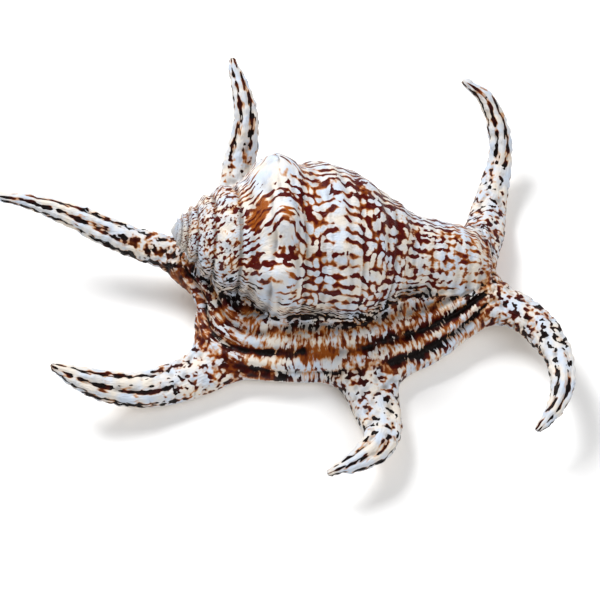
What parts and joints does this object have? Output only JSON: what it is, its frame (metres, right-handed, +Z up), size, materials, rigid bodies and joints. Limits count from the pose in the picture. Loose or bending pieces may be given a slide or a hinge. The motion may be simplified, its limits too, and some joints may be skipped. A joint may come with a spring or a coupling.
{
  "type": "spider conch shell",
  "caption": "Whole spider conch shell lying on its mouth: knobbed body whorl, stepped spire, flared outer lip and long curved fingers, brown-speckled white.",
  "frame": {"origin": "on the table plane, under the middle of the bounding box", "axes": "+X from the spire towards the siphon end, +Y towards the columella side, away from the outer lip, +Z up through the back of the shell"},
  "size_m": [0.182, 0.142, 0.0547],
  "materials": {
    "speckled_shell": "satin"
  },
  "bodies": {
    "root": {"conch_shell": "speckled_shell"}
  },
  "joints": []
}
